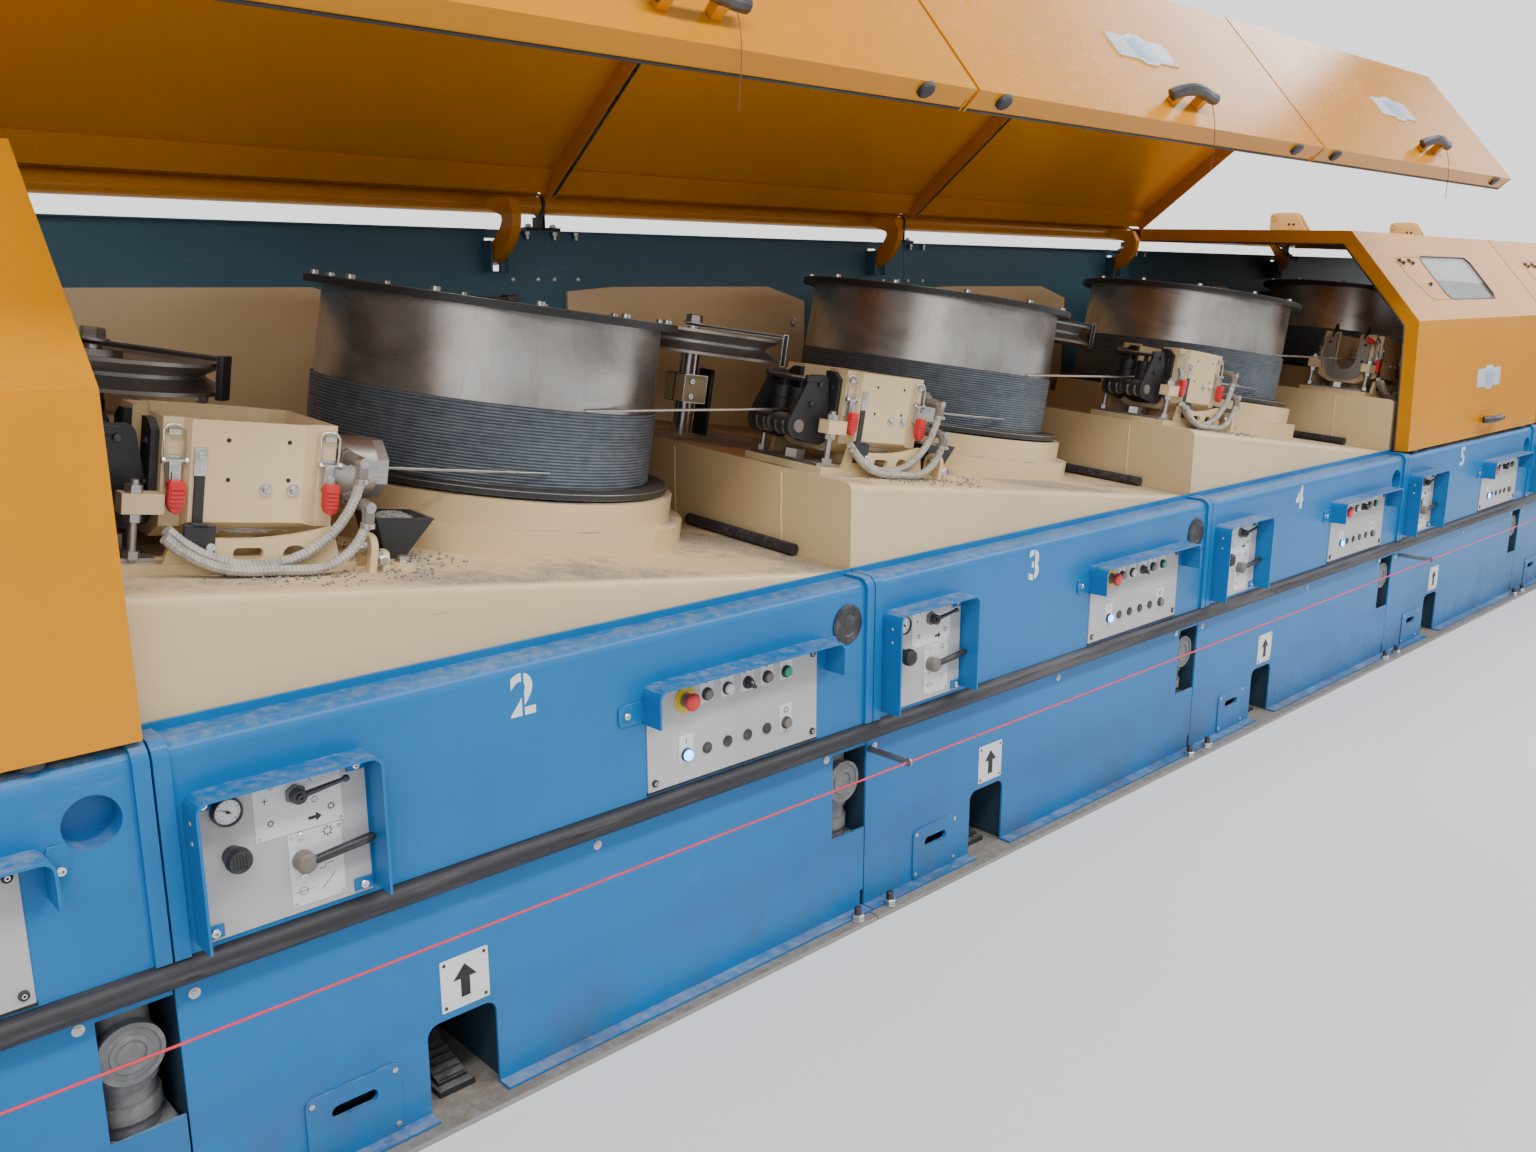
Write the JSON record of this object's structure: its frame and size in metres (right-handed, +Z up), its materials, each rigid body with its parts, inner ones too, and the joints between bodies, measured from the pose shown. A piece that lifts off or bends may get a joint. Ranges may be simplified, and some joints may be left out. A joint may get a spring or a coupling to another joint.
{
  "type": "wire drawing machine",
  "caption": "Row of drawing blocks with tilted capstans, die boxes and guide pulleys on a cream bed, in a blue base under tilting amber hoods.",
  "frame": {"origin": "middle of the footprint, on the floor", "axes": "+X along the line in the direction of drawing, -Y the operator's side, +Z up"},
  "size_m": [10.2266, 1.7845, 2.5207],
  "materials": {
    "cream_paint": "semi-gloss cream machine paint with rubbed edges and grey dust",
    "blue_paint": "satin blue machine paint",
    "teal_paint": "satin dark blue sheet",
    "frame_paint": "dull dark blue frame, in shade",
    "amber_paint": "gloss amber paint",
    "floor_steel": "worn grey base plate with dirt",
    "black_rubber": "worn black rubber, scuffed grey",
    "steel": "ground steel with drawing marks",
    "drum_steel": "polished hard steel, smoked and scratched",
    "wire_steel": "drawn wire with a grey soap coat",
    "chrome_post": "hard chrome",
    "grey_pipe": "grey drain pipe",
    "black_steel": "black oxide steel",
    "grey_plate": "light grey panel plate",
    "white_plate": "white sign plate",
    "black_plastic": "black moulded plastic",
    "red_cord": "red plastic-coated rope",
    "clear_hose": "clear hose with a braid, dusty",
    "tinted_glass": "grey glass",
    "latch_steel": "zinc-plated steel"
  },
  "bodies": {
    "machine": {"base_plates": "floor_steel", "inner_frames": "frame_paint", "lower_panels": "blue_paint", "upper_housings": "blue_paint", "end_panels": "blue_paint", "rear_panels": "blue_paint", "back_wall": "teal_paint", "cream_beds": "cream_paint", "back_plates": "cream_paint", "pedestals": "cream_paint", "bumper_rail": "black_rubber", "pull_cord": "red_cord", "cord_rods": "steel", "drain_pipes": "grey_pipe", "foot_pedals": "black_steel", "arrow_plates": "white_plate", "panel_plates": "grey_plate", "panel_shrouds": "blue_paint", "lever_controls": "black_plastic", "push_buttons": "black_plastic", "die_boxes": "cream_paint", "die_cradles": "cream_paint", "die_holders": "steel", "roller_cassettes": "black_steel", "toggle_latches": "latch_steel", "cooling_hoses": "clear_hose", "chip_trays": "black_steel", "pulley_posts": "chrome_post", "hinge_bearings": "black_steel", "drawn_wire": "wire_steel"},
    "hood_1": {"hood_1": "amber_paint", "window_1": "tinted_glass"},
    "capstan_1": {"drum_1": "drum_steel", "coil_1": "wire_steel"},
    "pulley_1": {"pulley_1": "steel"},
    "hood_2": {"hood_2": "amber_paint", "window_2": "tinted_glass"},
    "capstan_2": {"drum_2": "drum_steel", "coil_2": "wire_steel"},
    "pulley_2": {"pulley_2": "steel"},
    "hood_3": {"hood_3": "amber_paint", "window_3": "tinted_glass"},
    "capstan_3": {"drum_3": "drum_steel", "coil_3": "wire_steel"},
    "pulley_3": {"pulley_3": "steel"},
    "hood_4": {"hood_4": "amber_paint", "window_4": "tinted_glass"},
    "capstan_4": {"drum_4": "drum_steel", "coil_4": "wire_steel"},
    "pulley_4": {"pulley_4": "steel"},
    "hood_5": {"hood_5": "amber_paint", "window_5": "tinted_glass"},
    "capstan_5": {"drum_5": "drum_steel", "coil_5": "wire_steel"},
    "pulley_5": {"pulley_5": "steel"},
    "hood_6": {"hood_6": "amber_paint", "window_6": "tinted_glass"},
    "capstan_6": {"drum_6": "drum_steel", "coil_6": "wire_steel"},
    "pulley_6": {"pulley_6": "steel"}
  },
  "joints": [
    {"name": "hood_1_lift", "type": "hinge", "parent": "machine", "child": "hood_1", "pos_m": [-4.25, 0.7385, 1.85], "axis": [-1, 0, 0], "range_deg": [0, 39]},
    {"name": "capstan_1_turn", "type": "hinge", "parent": "machine", "child": "capstan_1", "pos_m": [-4.042, 0.1055, 1.03611], "axis": [0.1303, -0.064, 0.9894], "continuous": true},
    {"name": "pulley_1_turn", "type": "hinge", "parent": "machine", "child": "pulley_1", "pos_m": [-4.876, 0.3365, 1.16084], "axis": [0.1303, -0.064, 0.9894], "continuous": true},
    {"name": "hood_2_lift", "type": "hinge", "parent": "machine", "child": "hood_2", "pos_m": [-2.55, 0.7385, 1.85], "axis": [-1, 0, 0], "range_deg": [-39, 0]},
    {"name": "capstan_2_turn", "type": "hinge", "parent": "machine", "child": "capstan_2", "pos_m": [-2.342, 0.1055, 1.03611], "axis": [0.1303, -0.064, 0.9894], "continuous": true},
    {"name": "pulley_2_turn", "type": "hinge", "parent": "machine", "child": "pulley_2", "pos_m": [-3.176, 0.3365, 1.16084], "axis": [0.1303, -0.064, 0.9894], "continuous": true},
    {"name": "hood_3_lift", "type": "hinge", "parent": "machine", "child": "hood_3", "pos_m": [-0.85, 0.7385, 1.85], "axis": [-1, 0, 0], "range_deg": [-39, 0]},
    {"name": "capstan_3_turn", "type": "hinge", "parent": "machine", "child": "capstan_3", "pos_m": [-0.642, 0.1055, 1.03611], "axis": [0.1303, -0.064, 0.9894], "continuous": true},
    {"name": "pulley_3_turn", "type": "hinge", "parent": "machine", "child": "pulley_3", "pos_m": [-1.476, 0.3365, 1.16084], "axis": [0.1303, -0.064, 0.9894], "continuous": true},
    {"name": "hood_4_lift", "type": "hinge", "parent": "machine", "child": "hood_4", "pos_m": [0.85, 0.7385, 1.85], "axis": [-1, 0, 0], "range_deg": [-39, 0]},
    {"name": "capstan_4_turn", "type": "hinge", "parent": "machine", "child": "capstan_4", "pos_m": [1.058, 0.1055, 1.03611], "axis": [0.1303, -0.064, 0.9894], "continuous": true},
    {"name": "pulley_4_turn", "type": "hinge", "parent": "machine", "child": "pulley_4", "pos_m": [0.224, 0.3365, 1.16084], "axis": [0.1303, -0.064, 0.9894], "continuous": true},
    {"name": "hood_5_lift", "type": "hinge", "parent": "machine", "child": "hood_5", "pos_m": [2.55, 0.7385, 1.85], "axis": [-1, 0, 0], "range_deg": [0, 39]},
    {"name": "capstan_5_turn", "type": "hinge", "parent": "machine", "child": "capstan_5", "pos_m": [2.758, 0.1055, 1.03611], "axis": [0.1303, -0.064, 0.9894], "continuous": true},
    {"name": "pulley_5_turn", "type": "hinge", "parent": "machine", "child": "pulley_5", "pos_m": [1.924, 0.3365, 1.16084], "axis": [0.1303, -0.064, 0.9894], "continuous": true},
    {"name": "hood_6_lift", "type": "hinge", "parent": "machine", "child": "hood_6", "pos_m": [4.25, 0.7385, 1.85], "axis": [-1, 0, 0], "range_deg": [0, 39]},
    {"name": "capstan_6_turn", "type": "hinge", "parent": "machine", "child": "capstan_6", "pos_m": [4.458, 0.1055, 1.03611], "axis": [0.1303, -0.064, 0.9894], "continuous": true},
    {"name": "pulley_6_turn", "type": "hinge", "parent": "machine", "child": "pulley_6", "pos_m": [3.624, 0.3365, 1.16084], "axis": [0.1303, -0.064, 0.9894], "continuous": true}
  ]
}
